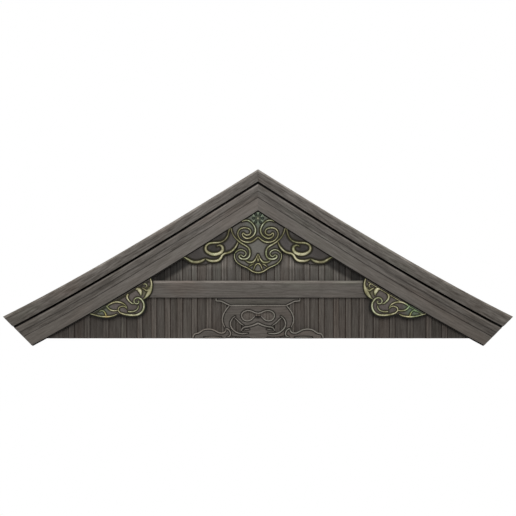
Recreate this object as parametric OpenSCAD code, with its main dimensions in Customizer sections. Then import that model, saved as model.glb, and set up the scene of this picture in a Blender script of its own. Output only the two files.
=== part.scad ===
// Gable end of a timber roof: boarded wall, tie beam, frog-leg strut, curved bargeboards and
// carved, gilded pendants. X runs across the gable, Z is up, and the front faces -Y.
// The origin is on the flat back, at the middle of the wall's bottom edge. Sizes are in mm.

/* [Gable] */
// Width between the tips of the roof edge
gable_w = 5400; // [4200:100:6600]
// Fall of the roof edge from its peak down to a tip
fall_h = 1560; // [1200:20:1900]
// How far the roof edge sags below a straight slope
sag = 110; // [0:10:200]
// How far the feet hang below the wall's bottom edge
foot_drop = 79; // [40:1:150]

/* [Verge boards] */
// Height of a verge board's face at the peak
verge_h = 128; // [90:2:180]
// Extra height of that face at the tips
verge_flare = 28; // [0:2:60]
// Depth of a verge board from the flat back to its face
verge_d = 150; // [120:2:220]
// Height of the fillet along its top edge
fillet_h = 24; // [12:2:40]
// How far that fillet stands back from the face
fillet_step = 8; // [4:1:16]

/* [Bargeboards] */
// Height of a bargeboard's face, measured plumb
barge_h = 283; // [200:5:400]
// Thickness of a bargeboard
barge_t = 85; // [60:5:120]
// Height of the dark rebate under the verge board
rebate_h = 22; // [8:1:30]
// Height of the drip rebate along the lower edge
drip_h = 14; // [6:1:30]
// Depth of both rebates
rebate_d = 32; // [15:1:45]
// Plumb distance from the face's top down to the eyebrow grooves
brow_drop = 76; // [50:2:150]
// Plumb height of the band left between the two grooves
brow_bead = 57; // [8:1:90]
// Width of one groove
brow_w = 9; // [5:1:14]
// Depth of one groove
brow_d = 5; // [3:1:10]

/* [Wall] */
// Thickness of the wall boards
board_t = 24; // [15:1:40]
// Half the width of the middle board
mid_board = 90; // [60:5:120]
// Width of the battens
batten_w = 54; // [36:2:70]
// Thickness of the battens
batten_t = 15; // [10:1:30]
// Gap between neighbouring boards
joint_gap = 2; // [1:0.5:4]
// Thickness of the lap behind that closes each gap
lap_t = 12; // [6:1:15]
// Gap over the wall, under the verge boards
top_gap = 0.5; // [0.5:0.5:3]
// How far the wall runs on behind the bargeboards' feet
foot_lap = 115; // [60:5:180]

/* [Beam and strut] */
// Height of the tie beam
beam_h = 180; // [120:5:240]
// Thickness of the tie beam
beam_t = 45; // [30:1:70]
// Height of the light fillet along the beam's top
beam_fillet = 24; // [12:2:40]
// How far that fillet stands back
beam_step = 6; // [3:1:12]
// Height of the plate under the beam
plate_h = 80; // [50:2:120]
// Thickness of that plate
plate_t = 36; // [24:1:60]
// Height of the strut up to its plate
strut_h = 353; // [280:1:440]
// Thickness of the strut
strut_t = 30; // [20:1:50]
// Height of the raised lines on the strut and its plate
strut_line = 6; // [3:1:12]

/* [Pendants] */
// Thickness of the gable pendant's field
pendant_t = 55; // [40:1:75]
// Thickness of the fins' field
fin_t = 48; // [36:1:75]
// Thickness of the corner pendants' field in front of the beam
corner_t = 22; // [12:1:40]
// Height of the raised scrolls
relief = 12; // [6:1:20]
// Plumb distance from the bargeboard's lower edge down to the rim along a corner pendant
rim_drop = 16; // [8:1:40]
// Plumb height of that rim
rim_h = 12; // [6:1:24]
// Radius of the boss at the peak
boss_r = 62; // [45:1:80]
// How far the boss stands out from the field
boss_h = 26; // [15:1:40]

/* [Hidden] */
// Widths of the wall boards from the middle board outwards. The last one runs on to the wall's end.
board_widths = [115, 155, 160, 155, 155, 130, 145, 150, 170, 190, 200, 165, 370];
// A last board narrower than this is left out, and its neighbour is made wider.
least_board = 80;
// The first joint at each side has no batten.
first_batten = 2;
// From this joint outwards a batten is one solid with the board inside it.
joined_from = 11;
// Height that the strut's curves are drawn for
strut_drawn_h = 353;
rake_steps = 24;
spline_steps = 4;

half_w = gable_w / 2;
batten_front = board_t + batten_t;
barge_front = batten_front + barge_t;
drop_groove = verge_h + rebate_h;
drop_face = drop_groove + barge_h;
drop_under = drop_face + drip_h;
foot_x = cut_x(drop_under);
peak_z = half_w + fall_h - foot_x - foot_drop;
beam_z = strut_h + plate_h;
beam_top = beam_z + beam_h;
wall_end = under_x(0) + foot_lap;
under_peak_z = peak_z - drop_under;
beam_end_x = under_x(beam_top);
outer_edges = [for (i = [0:len(board_widths) - 2]) mid_board + sum_to(board_widths, i)];
board_edges = concat([mid_board], [for (x = outer_edges) if (x < wall_end - least_board) x], [wall_end]);
boards = len(board_edges) - 1;
loose_battens = min(boards, joined_from - 1);

side_names = ["left", "right"];

// ---- curves ----

function sum_to(list, i) = i < 0 ? 0 : list[i] + sum_to(list, i - 1);

// Height below the peak of the roof edge at a distance x from the middle, and of any line that
// runs the plumb distance drop under it.
function fall_at(x, drop) =
  let (u = abs(x) / half_w)
  drop + verge_flare * u * min(1, drop / verge_h) + fall_h * u + sag * (u - u * u * u);

function slope_at(x) =
  let (u = abs(x) / half_w)
  (fall_h + verge_flare + sag * (1 - 3 * u * u)) / half_w;

// Where a line meets the 45 degree cut through the tip, and where the bargeboards' lower edge
// stands at height z. Both close in on the answer in a few steps.
function cut_x(drop, x = half_w, n = 8) =
  n == 0 ? x
  : cut_x(drop, x + (half_w + fall_h - x - fall_at(x, drop)) / (1 + slope_at(x)), n - 1);

function under_x(z, x = half_w * 0.7, n = 8) =
  n == 0 ? x
  : under_x(z, x + (peak_z - fall_at(x, drop_under) - z) / slope_at(x), n - 1);

function rake_line(drop, end) =
  [for (k = [0:rake_steps]) let (x = end * k / rake_steps) [x, peak_z - fall_at(x, drop)]];

function reversed(list) = [for (i = [len(list) - 1:-1:0]) list[i]];

// A smooth curve through a list of points. A third number, such as a width, is blended as well.
function blend(p0, p1, p2, p3, t) =
  0.5 * (2 * p1 + (p2 - p0) * t + (2 * p0 - 5 * p1 + 4 * p2 - p3) * t * t
    + (3 * p1 - p0 - 3 * p2 + p3) * t * t * t);

function spline(p, n = spline_steps) =
  let (last = len(p) - 1)
  concat([for (i = [0:last - 1], k = [0:n - 1])
    blend(p[max(i - 1, 0)], p[i], p[i + 1], p[min(i + 2, last)], k / n)], [p[last]]);

// The outline of a carved line: points of [x, z, width] swept at their own width.
function line_outline(p) =
  let (c = spline(p), last = len(c) - 1,
    side = [for (i = [0:last])
      let (d = c[min(i + 1, last)] - c[max(i - 1, 0)], along = [d[0], d[1]])
      [-along[1], along[0]] / norm(along) * c[i][2] / 2])
  concat([for (i = [0:last]) [c[i][0], c[i][1]] + side[i]],
    [for (i = [last:-1:0]) [c[i][0], c[i][1]] - side[i]]);

// ---- helpers ----

// Stands a flat drawing up: its X stays, its Y becomes Z, and it fills the depth from back to
// front, both measured forwards from the flat back.
module layer(back, front) {
  translate([0, -back, 0]) rotate([90, 0, 0]) linear_extrude(front - back) children();
}

module side(name) {
  if (name == "left") mirror([1, 0, 0]) children();
  else children();
}

module both_sides() {
  children();
  mirror([1, 0, 0]) children();
}

// The flat shape between two lines under the roof edge, from the middle to the cut foot
module rake_strip(top, bottom) {
  polygon(concat(rake_line(top, cut_x(top)), reversed(rake_line(bottom, cut_x(bottom)))));
}

// Everything below the bargeboards' lower edge
module under_gable() {
  edge = rake_line(drop_under, foot_x);
  polygon(concat([for (p = reversed(edge)) [-p[0], p[1]]], edge,
    [[foot_x, -foot_drop * 2], [-foot_x, -foot_drop * 2]]));
}

// Carved lines on one side of the middle, with their corners eased
module carved_lines(lines) {
  offset(r = 1) offset(delta = -1) for (line = lines) polygon(line_outline(line));
}

// ---- roof edge ----

module verge_board() {
  color("dimgray") {
    layer(0, verge_d - fillet_step) rake_strip(0, verge_h);
    layer(verge_d - fillet_step, verge_d) rake_strip(fillet_h, verge_h);
  }
}

module bargeboard() {
  brow_1 = drop_groove + brow_drop;
  brow_2 = brow_1 + brow_w + brow_bead;
  color("gray") {
    layer(batten_front, barge_front - rebate_d) rake_strip(verge_h, drop_under);
    layer(barge_front - rebate_d, barge_front - brow_d) rake_strip(drop_groove, drop_face);
    layer(barge_front - brow_d, barge_front) {
      rake_strip(drop_groove, brow_1);
      rake_strip(brow_1 + brow_w, brow_2);
      rake_strip(brow_2 + brow_w, drop_face);
    }
  }
}

// ---- wall ----

// Places across a plumb strip of the wall from x0 to x1. An even number of steps puts one of them
// under the peak on the strips that stand in the middle.
function across(x0, x1, steps = 4) = [for (k = [0:steps]) x0 + (x1 - x0) * k / steps];

// A plumb strip of the wall over those places, up to the verge board
module wall_shape(places) {
  polygon(concat([[places[0], 0]], [for (x = places) [x, peak_z - fall_at(x, verge_h) - top_gap]],
    [[places[len(places) - 1], 0]]));
}

module wall_strip(x0, x1) {
  wall_shape(across(x0, x1));
}

module batten_shape(i) {
  wall_strip(board_edges[i - 1] - batten_w / 2, board_edges[i - 1] + batten_w / 2);
}

// A board laps over the gap at its inner edge, and touches its neighbour there.
module wall_board(i) {
  places = across(board_edges[i - 1] + joint_gap / 2, board_edges[i] - (i < boards ? joint_gap / 2 : 0));
  color("gray") {
    layer(0, lap_t) wall_shape(concat([places[0] - joint_gap], places));
    layer(lap_t, board_t) wall_shape(places);
    if (i + 1 >= joined_from && i < boards) layer(board_t, batten_front) batten_shape(i + 1);
  }
}

module batten(i) {
  color("darkgray") layer(board_t, batten_front) batten_shape(i);
}

module middle_board() {
  reach = mid_board - joint_gap / 2;
  color("gray") layer(0, board_t) wall_strip(-reach, reach);
}

module middle_batten() {
  color("darkgray") layer(board_t, batten_front) wall_strip(-batten_w / 2, batten_w / 2);
}

// ---- beam and strut ----

module beam_face(top) {
  intersection() {
    translate([-half_w, beam_z]) square([gable_w, top - beam_z]);
    under_gable();
  }
}

module tie_beam() {
  color("gray") {
    layer(batten_front, batten_front + beam_t - beam_step) beam_face(beam_top);
    layer(batten_front + beam_t - beam_step, batten_front + beam_t) beam_face(beam_top - beam_fillet);
  }
}

// The plate's end hooks down from the beam and runs in a hollow curve to its lower edge.
plate_end = [[420, -40], [395, -42], [365, -54], [335, -70], [305, -80]];

module plate_shape() {
  both_sides() polygon(concat([[0, 0], [445, 0], [445, -40]], spline(plate_end), [[0, -80]]));
}

module strut_plate() {
  hook = [for (p = concat([[445, -4], [441, -36]], plate_end)) [p[0], p[1] + 5, 9]];
  color("darkgray") translate([0, 0, beam_z]) scale([1, 1, plate_h / 80]) {
    layer(batten_front, batten_front + plate_t) plate_shape();
    layer(batten_front + plate_t, batten_front + plate_t + strut_line) intersection() {
      plate_shape();
      both_sides() {
        translate([0, -80]) square([310, 9]);
        carved_lines([hook]);
      }
    }
  }
}

// The strut, drawn from the middle to one side: shoulder, hip, the knob of the foot and the toe
strut_edge = [[305, 353], [342, 306], [368, 262], [383, 208], [376, 160], [352, 112], [347, 78],
  [361, 59], [382, 53], [406, 57], [434, 68], [463, 86], [496, 98], [528, 102], [561, 98],
  [589, 88], [614, 70], [634, 57], [654, 55], [675, 47], [688, 26], [694, 0]];
strut_sole = [[335, 0], [322, 14], [296, 32], [270, 30], [220, 22], [160, 18], [100, 20], [75, 0]];
// The bow-shaped opening, and the crescent at each side
bow_edge = [[0, 262], [30, 268], [52, 278], [78, 288], [105, 291], [135, 285], [158, 270],
  [168, 248], [165, 226], [150, 206], [128, 196], [104, 194], [82, 202], [60, 218], [38, 236], [0, 238]];
crescent_edge = [[248, 216], [224, 192], [200, 168], [180, 148], [170, 120], [178, 86], [196, 66],
  [220, 68], [246, 84], [268, 106], [283, 134], [287, 160], [278, 190], [262, 212]];

strut_lines = [
  // the outer edge, with the knob of the foot
  [[303, 350, 9], [338, 306, 9], [364, 262, 9], [378, 208, 9], [371, 160, 8], [350, 118, 5]],
  [[346, 98, 5], [330, 103, 8], [310, 92, 9], [297, 73, 9], [292, 50, 9], [300, 30, 7], [326, 16, 5]],
  [[338, 92, 6], [349, 74, 9], [361, 63, 9], [382, 58, 9], [406, 60, 9], [434, 71, 9], [463, 87, 9],
    [496, 97, 9], [528, 100, 9], [561, 96, 9], [589, 86, 9], [614, 68, 9], [634, 57, 9],
    [654, 53, 9], [675, 44, 9], [686, 24, 9], [691, 4, 9]],
  [[575, 13, 4], [480, 14, 8], [390, 13, 4]],
  // round the bow and the crescent
  [[0, 267, 9], [30, 273, 9], [52, 284, 9], [78, 293, 9], [105, 297, 9], [137, 290, 9], [163, 273, 9],
    [174, 248, 9], [170, 224, 9], [154, 201, 9], [130, 190, 9], [104, 188, 9], [79, 196, 9],
    [57, 213, 8], [34, 236, 6]],
  [[240, 240, 4], [264, 220, 7], [284, 190, 9], [293, 158, 9], [288, 130, 9], [271, 100, 9],
    [245, 77, 9], [212, 59, 9], [175, 52, 9], [138, 53, 8], [104, 58, 4]],
  [[250, 222, 4], [224, 198, 7], [199, 173, 8], [175, 153, 7], [150, 138, 4]],
  // the ridge that parts over the sill
  [[0, 163, 14], [28, 150, 12], [69, 135, 10], [110, 126, 9], [142, 121, 9], [160, 112, 8],
    [170, 98, 8], [178, 82, 5]],
  [[150, 88, 3], [120, 95, 6], [90, 99, 3]]];

module strut_shape() {
  scale([1, strut_h / strut_drawn_h]) difference() {
    both_sides() polygon(concat([[0, strut_drawn_h]], spline(strut_edge), spline(strut_sole), [[0, 0]]));
    both_sides() polygon(concat([[-1, 238], [-1, 262]], spline(bow_edge)));
    both_sides() polygon(spline(concat(crescent_edge, [crescent_edge[0]])));
  }
}

module frog_leg_strut() {
  color("darkgray") {
    layer(batten_front, batten_front + strut_t) strut_shape();
    layer(batten_front + strut_t, batten_front + strut_t + strut_line) intersection() {
      strut_shape();
      scale([1, strut_h / strut_drawn_h]) {
        both_sides() carved_lines(strut_lines);
        polygon([[-70, 20], [-28, 42], [0, 54], [28, 42], [70, 20]]);
      }
    }
  }
}

// ---- pendants ----

// The gable pendant hangs from under the peak. Its curves are drawn from there, downwards.
pendant_edge = [[300, -60], [288, -180], [276, -230], [252, -270], [222, -305], [206, -345],
  [216, -385], [246, -425], [258, -470], [252, -510], [232, -540], [196, -568], [155, -588],
  [118, -604], [92, -620], [55, -645], [15, -658], [0, -660]];
pendant_lines = [
  // stem and upper volute, whose two arms curl into each other
  [[175, -108, 8], [150, -97, 12], [118, -93, 14], [90, -102, 14], [60, -127, 15], [36, -163, 17],
    [27, -200, 18], [38, -238, 17], [65, -268, 16], [113, -285, 17], [150, -270, 15],
    [166, -244, 14], [158, -224, 16]],
  [[0, -268, 14], [28, -292, 15], [60, -315, 16], [100, -325, 17], [145, -320, 15], [184, -298, 14],
    [209, -262, 13], [211, -218, 13], [190, -187, 14], [158, -174, 15], [125, -174, 15],
    [90, -188, 15], [76, -216, 15], [92, -243, 15], [118, -250, 15], [142, -240, 15], [158, -224, 16]],
  // outer arm and lower volute
  [[290, -170, 14], [272, -228, 15], [250, -268, 16], [219, -301, 17], [187, -328, 17],
    [155, -348, 17], [118, -370, 17], [97, -391, 18], [86, -428, 19], [89, -465, 18],
    [104, -490, 18], [130, -503, 19], [160, -504, 19], [187, -495, 19], [201, -475, 17],
    [192, -460, 12]],
  [[244, -442, 10], [219, -418, 13], [187, -405, 15], [152, -412, 14], [132, -428, 13],
    [126, -450, 12], [138, -470, 13], [158, -477, 13], [176, -462, 12], [192, -460, 12]],
  // rim of the bulb
  [[244, -442, 10], [250, -470, 11], [244, -503, 12], [224, -534, 12], [192, -560, 12],
    [155, -579, 12], [118, -595, 13], [92, -612, 14], [55, -635, 15], [15, -647, 16], [0, -648, 16]],
  // calyx and its flame
  [[136, -518, 6], [108, -534, 16], [76, -540, 20], [49, -532, 20], [28, -508, 16], [14, -480, 12],
    [4, -448, 5]],
  [[0, -450, 6], [0, -480, 14], [0, -510, 26], [0, -530, 16]],
  [[100, -590, 5], [80, -572, 14], [60, -560, 12], [40, -552, 6]],
  [[48, -625, 6], [36, -585, 12], [20, -560, 12], [0, -549, 10]]];

// A fin at each side, drawn from the same point: the scroll, and the thick rim below it
fin_edge = [[296, -60], [296, -185], [262, -255], [222, -305], [206, -345], [225, -384],
  [253, -418], [284, -440], [322, -456], [352, -470], [378, -505], [400, -530], [430, -541],
  [470, -546], [512, -545], [560, -552], [608, -560], [655, -562], [703, -556], [745, -532],
  [790, -500], [830, -470], [830, -300], [560, -130]];
fin_lines = [
  [[303, -178, 14], [310, -215, 15], [324, -262, 16], [352, -300, 17], [390, -322, 18],
    [438, -330, 19], [486, -332, 20], [525, -342, 21], [549, -364, 23], [556, -391, 25],
    [547, -418, 27], [517, -440, 29], [484, -452, 31], [446, -453, 32], [410, -443, 31],
    [384, -422, 30], [374, -394, 28], [386, -367, 25], [412, -357, 18], [440, -369, 8]],
  [[212, -325, 12], [226, -359, 18], [253, -396, 20], [284, -423, 20], [322, -438, 20],
    [356, -446, 20], [379, -464, 22], [397, -495, 24], [427, -518, 25], [470, -524, 25],
    [512, -521, 24], [542, -508, 18], [557, -499, 8]],
  [[557, -499, 8], [576, -512, 20], [608, -528, 26], [655, -536, 27], [703, -529, 26],
    [740, -508, 22], [775, -488, 14], [795, -480, 6]]];

// A corner pendant at each side, drawn from where the beam's top edge runs into the bargeboard
corner_edge = [[-46, 30], [-56, -15], [-57, -65], [-48, -115], [-20, -162], [15, -190], [31, -204],
  [16, -240], [11, -283], [24, -320], [53, -355], [95, -376], [147, -382], [200, -377],
  [248, -366], [282, -352], [314, -364], [356, -384], [402, -393], [440, -395], [492, -387],
  [550, -371], [605, -352]];
corner_lines = [
  // right-hand rim with its swelling
  [[-34, 25, 14], [-44, -13, 18], [-46, -61, 20], [-36, -108, 24], [-10, -150, 20], [22, -180, 12],
    [38, -194, 6]],
  // the great S: its volute, the sweep under it and the hook at its far end
  [[100, -219, 8], [86, -217, 12], [83, -231, 14], [104, -243, 14], [126, -235, 14],
    [134, -213, 14], [121, -190, 15], [94, -180, 16], [66, -189, 17], [47, -209, 18],
    [31, -241, 19], [28, -272, 20], [37, -309, 20], [63, -341, 20], [100, -360, 20],
    [147, -365, 19], [200, -361, 18], [248, -351, 17], [285, -334, 15], [300, -308, 14],
    [294, -287, 14], [275, -275, 14], [244, -271, 14], [214, -285, 13], [206, -301, 6]],
  [[202, -325, 14], [169, -328, 15], [132, -323, 14], [105, -309, 13], [90, -288, 12],
    [87, -260, 10]],
  // C-scroll and leaf
  [[192, -138, 20], [206, -163, 22], [200, -193, 19], [179, -219, 16], [153, -240, 14],
    [130, -244, 8]],
  [[118, -90, 14], [92, -86, 26], [70, -104, 28], [62, -132, 20], [60, -160, 8]],
  // little volute at the top
  [[36, -38, 8], [20, -34, 12], [2, -42, 13], [-2, -62, 12], [16, -70, 8]],
  [[52, -74, 8], [26, -88, 16], [-4, -104, 20], [-22, -90, 16], [-30, -64, 10]],
  // the long leaf and the rim of the tip
  [[424, -278, 10], [402, -256, 14], [370, -238, 16], [334, -226, 17], [296, -226, 17],
    [259, -236, 16], [228, -257, 13], [208, -280, 7]],
  [[428, -262, 10], [412, -284, 16], [391, -304, 16], [359, -316, 15], [322, -317, 13],
    [298, -312, 8]],
  [[598, -350, 8], [550, -362, 12], [492, -376, 14], [428, -381, 18], [386, -378, 16],
    [343, -367, 14], [312, -352, 10]],
  [[500, -330, 8], [484, -318, 11], [462, -318, 12], [446, -332, 13], [434, -354, 16],
    [428, -376, 14]]];

module pendant_field() {
  intersection() {
    both_sides() polygon(concat([[0, 60], [150, 60]], spline(pendant_edge)));
    translate([0, -under_peak_z]) under_gable();
  }
}

module gable_pendant() {
  front = batten_front + pendant_t;
  color("slategray") translate([0, 0, under_peak_z]) {
    layer(batten_front, front) pendant_field();
    layer(front, front + relief) intersection() {
      pendant_field();
      both_sides() carved_lines(pendant_lines);
    }
  }
}

// A six-petalled boss: hexagonal seat, round petals and a domed pin. Its seat fits under the peak.
module pendant_boss() {
  back = batten_front + pendant_t;
  color("seagreen") translate([0, -back, under_peak_z - boss_r * 1.15]) rotate([90, 0, 0]) {
    linear_extrude(boss_h * 0.4) circle(r = boss_r * 0.55, $fn = 6);
    for (k = [0:5]) rotate(k * 60) translate([boss_r * 0.5, 0])
      linear_extrude(boss_h * 0.62) circle(r = boss_r * 0.27, $fn = 32);
    linear_extrude(boss_h * 0.85) circle(r = boss_r * 0.24, $fn = 32);
    translate([0, 0, boss_h * 0.85]) intersection() {
      sphere(r = boss_r * 0.24, $fn = 32);
      cylinder(r = boss_r * 0.24, h = boss_h * 0.15, $fn = 32);
    }
  }
}

module fin_field() {
  intersection() {
    difference() {
      polygon(spline(concat(fin_edge, [fin_edge[0]])));
      pendant_field();
    }
    translate([0, -under_peak_z]) under_gable();
  }
}

module pendant_fin() {
  front = batten_front + fin_t;
  color("slategray") translate([0, 0, under_peak_z]) {
    layer(batten_front, front) fin_field();
    layer(front, front + relief) intersection() {
      fin_field();
      carved_lines(fin_lines);
    }
  }
}

module corner_shape() {
  intersection() {
    polygon(concat([[-46, 120]], spline(corner_edge), [[700, -352], [700, 120]]));
    translate([-beam_end_x, -beam_top]) under_gable();
  }
}

// Behind, the pendant is notched over the beam. In front, a raised rim follows the bargeboard.
module corner_pendant() {
  notch = batten_front + beam_t;
  front = notch + corner_t;
  color("slategray") translate([beam_end_x, 0, beam_top]) {
    layer(batten_front, notch) difference() {
      corner_shape();
      translate([-half_w, -beam_h]) square([gable_w, beam_h]);
    }
    layer(notch, front) corner_shape();
    layer(front, front + relief) intersection() {
      corner_shape();
      union() {
        carved_lines(corner_lines);
        translate([-beam_end_x, -beam_top]) rake_strip(drop_under + rim_drop, drop_under + rim_drop + rim_h);
      }
    }
  }
}

// ---- the whole gable ----

gable_pendant();
pendant_boss();
tie_beam();
frog_leg_strut();
strut_plate();
middle_board();
middle_batten();
for (s = side_names) side(s) {
  verge_board();
  bargeboard();
  pendant_fin();
  corner_pendant();
  for (i = [1:boards]) wall_board(i);
  for (i = [first_batten:loose_battens]) batten(i);
}
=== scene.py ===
# %% [markdown]
# # A timber gable, dressed in Blender
# The gable is the boarded end of a tiled temple roof. A wall of boards and battens stands behind
# a tie beam with a frog-leg strut, curved bargeboards follow the roof edge, and carved pendants
# with gilded scrolls hang from them. Closed solids of all its parts come from a fixed frame, so
# every piece made here takes its place and its size from that frame, and rides on its one body.

# %% Load the frame
import math
import random

import bmesh
import bpy
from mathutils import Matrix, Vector
from mathutils.bvhtree import BVHTree


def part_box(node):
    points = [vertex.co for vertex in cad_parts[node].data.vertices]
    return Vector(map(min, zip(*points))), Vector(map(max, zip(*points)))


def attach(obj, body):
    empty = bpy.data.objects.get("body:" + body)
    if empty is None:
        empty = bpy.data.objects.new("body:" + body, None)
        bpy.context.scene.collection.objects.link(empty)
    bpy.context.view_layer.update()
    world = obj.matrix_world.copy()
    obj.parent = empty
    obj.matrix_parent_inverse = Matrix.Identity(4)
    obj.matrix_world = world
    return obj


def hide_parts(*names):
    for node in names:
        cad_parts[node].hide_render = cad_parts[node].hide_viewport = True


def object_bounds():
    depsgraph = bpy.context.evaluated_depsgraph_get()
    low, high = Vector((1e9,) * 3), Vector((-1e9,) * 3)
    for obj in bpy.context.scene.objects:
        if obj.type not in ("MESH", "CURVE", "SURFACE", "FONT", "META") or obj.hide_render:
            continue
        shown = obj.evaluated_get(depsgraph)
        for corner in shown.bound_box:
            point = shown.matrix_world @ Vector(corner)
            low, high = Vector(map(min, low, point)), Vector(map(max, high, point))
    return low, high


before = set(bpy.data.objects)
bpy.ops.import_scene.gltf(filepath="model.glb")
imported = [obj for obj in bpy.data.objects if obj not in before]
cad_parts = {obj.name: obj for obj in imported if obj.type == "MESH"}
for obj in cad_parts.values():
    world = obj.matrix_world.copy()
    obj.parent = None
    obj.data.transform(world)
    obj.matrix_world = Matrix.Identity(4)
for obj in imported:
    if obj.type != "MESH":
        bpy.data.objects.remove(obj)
cad_low, cad_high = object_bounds()
print("nodes:", len(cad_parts), "size in metres:", [round(v, 3) for v in cad_high - cad_low])

# %% [markdown]
# ## Camera
# The gable is seen straight on, like a drawing of a front. A long lens from far away gives that look:
# lines that run back barely come together. The distance follows from the width that the picture should
# take in, and the height is given, so the framing stays the same if the lens is changed.

# %% Camera
LENS = 200.0
SENSOR = 36.0
VIEW_WIDTH = 5.463
VIEW_MIDDLE = 0.854
face_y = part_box("bargeboard_right")[0].y

camera = bpy.data.objects.new("camera", bpy.data.cameras.new("camera"))
bpy.context.scene.collection.objects.link(camera)
camera.data.lens = LENS
camera.data.sensor_width = SENSOR
camera.data.clip_end = 200.0
camera.location = (0, face_y - VIEW_WIDTH * LENS / SENSOR, VIEW_MIDDLE)
camera.rotation_euler = (math.radians(90), 0, 0)
bpy.context.scene.camera = camera
bpy.context.scene.view_settings.view_transform = "Standard"
print("camera stands", round(-camera.location.y, 2), "m in front")

# %% [markdown]
# ## Floor and light
# A pediment hangs high on a wall, so the floor lies well below it and only catches a faint
# shadow. The light is that of a bright, hazy day: a white surround that is stronger from above
# than from below, and one broad sun. A faint second sun from behind keeps the back from going
# dark. The surround has nodes of its own, so it comes after the helpers that add nodes.

# %% Floor and light
FLOOR_DROP = 2.2
HALF_FLOOR = 5.0
PALE_FLOOR = (0.85, 0.85, 0.84, 1)
SUN, BACK_FILL = 1.42, 1.1

floor_mesh = bpy.data.meshes.new("floor")
grid = bmesh.new()
bmesh.ops.create_grid(grid, x_segments=1, y_segments=1, size=HALF_FLOOR)
bmesh.ops.translate(grid, verts=grid.verts, vec=(0, -HALF_FLOOR / 2, -FLOOR_DROP))
grid.to_mesh(floor_mesh)
grid.free()
floor = bpy.data.objects.new("floor", floor_mesh)
bpy.context.scene.collection.objects.link(floor)
pale = bpy.data.materials.new("pale_floor")
pale.use_nodes = True
pale.node_tree.nodes["Principled BSDF"].inputs["Base Color"].default_value = PALE_FLOOR
pale.node_tree.nodes["Principled BSDF"].inputs["Roughness"].default_value = 0.9
floor_mesh.materials.append(pale)


def sunlight(name, strength, spread, turn):
    """A sun lamp. Spread is its apparent size and turn its direction, both in degrees."""
    lamp = bpy.data.lights.new(name, "SUN")
    lamp.energy = strength
    lamp.angle = math.radians(spread)
    holder = bpy.data.objects.new(name, lamp)
    holder.rotation_euler = [math.radians(v) for v in turn]
    bpy.context.scene.collection.objects.link(holder)


sunlight("hazy_sun", SUN, 30, (74, 0, 0))
sunlight("back_fill", BACK_FILL, 60, (60, 0, 150))
print("floor", FLOOR_DROP, "m below the gable, sun", SUN, "and fill", BACK_FILL)

# %% [markdown]
# ## A small kit for node materials
# A node material is a chain of little machines: some give coordinates, some noise, some do sums.
# Building one by hand in a script takes many lines, so these helpers each add one node, link it
# up and hand back its output. Colours are written as they look on a screen, from 0 to 255.

# %% Adding nodes


def srgb(red, green, blue):
    """A colour as it looks on a screen, as the linear one that nodes use."""
    def linear(v):
        v /= 255
        return v / 12.92 if v <= 0.04045 else ((v + 0.055) / 1.055) ** 2.4
    return (linear(red), linear(green), linear(blue), 1.0)


def feed(tree, socket, value):
    """Links a socket to another node's output, or gives it a plain value."""
    if isinstance(value, bpy.types.NodeSocket):
        tree.links.new(value, socket)
    else:
        socket.default_value = value


def add(tree, kind, inputs=None, **settings):
    """A new node with its settings and its inputs filled in."""
    made = tree.nodes.new("ShaderNode" + kind)
    for name, value in settings.items():
        setattr(made, name, value)
    for name, value in (inputs or {}).items():
        feed(tree, made.inputs[name], value)
    return made


def maths(tree, operation, *values):
    """One sum: ADD, MULTIPLY, MINIMUM and so on."""
    return add(tree, "Math", dict(enumerate(values)), operation=operation).outputs[0]


print("a mid grey of 128 is", round(srgb(128, 128, 128)[0], 3), "as a linear value")

# %% [markdown]
# ## Fades, mixes and noise
# Most marks on old timber are the same thing: a colour that changes smoothly where some measure
# passes from one value to another. A Map Range node set to smooth steps does that without a hard
# line. The noise has its coordinates stretched first, so that it can run along a grain.

# %% Fades, mixes and noise
FULL_SHARE = 0.35


def fade(tree, value, start, end, low=0.0, high=1.0):
    """Goes smoothly from low to high while value goes from start to end."""
    made = add(tree, "MapRange", {0: value, 1: start, 2: end, 3: low, 4: high},
               interpolation_type="SMOOTHSTEP")
    return made.outputs[0]


def mix(tree, factor, first, second, mode="MIX"):
    """Two colours mixed by a factor, or multiplied with mode MULTIPLY."""
    made = add(tree, "Mix", data_type="RGBA", blend_type=mode)
    for index, value in ((0, factor), (6, first), (7, second)):
        feed(tree, made.inputs[index], value)
    return made.outputs[2]


def scaled(tree, colour, factor):
    """A colour made lighter or darker by a factor."""
    made = add(tree, "VectorMath", {0: colour, 3: factor}, operation="SCALE")
    return made.outputs[0]


def ramp(tree, factor, stops):
    """Colours along a scale; stops are (place, colour)."""
    made = add(tree, "ValToRGB", {0: factor})
    scale = made.color_ramp.elements
    while len(scale) < len(stops):
        scale.new(0.5)
    for element, (place, colour) in zip(scale, stops):
        element.position, element.color = place, colour
    return made.outputs[0]


def cloud(tree, place, size, detail=3.0, roughness=0.5, shift=0.0):
    """Soft noise from 0 to 1. Size holds how often it changes in a metre, along each axis."""
    stretched = add(tree, "VectorMath", {0: place, 1: size, 2: (shift, shift, shift)},
                    operation="MULTIPLY_ADD")
    made = add(tree, "TexNoise", {"Vector": stretched.outputs[0], "Scale": 1.0, "Detail": detail,
                                  "Roughness": roughness})
    return made.outputs["Fac"]


def near(tree, place, centre, reach):
    """1 close to a point and 0 beyond its reach."""
    away = add(tree, "VectorMath", {0: place, 1: centre}, operation="DISTANCE").outputs["Value"]
    return fade(tree, away, reach, reach * FULL_SHARE)


print("a spot is at full strength within", FULL_SHARE, "of its reach")

# %% [markdown]
# ## World
# A hazy sky lights the gable from all round, and more from above than from below. The world's
# own direction, as a number from -1 below to 1 above, fades between the two strengths. A Light
# Path node then shows plain white to the camera, so the surround can be weak and still white.

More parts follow.
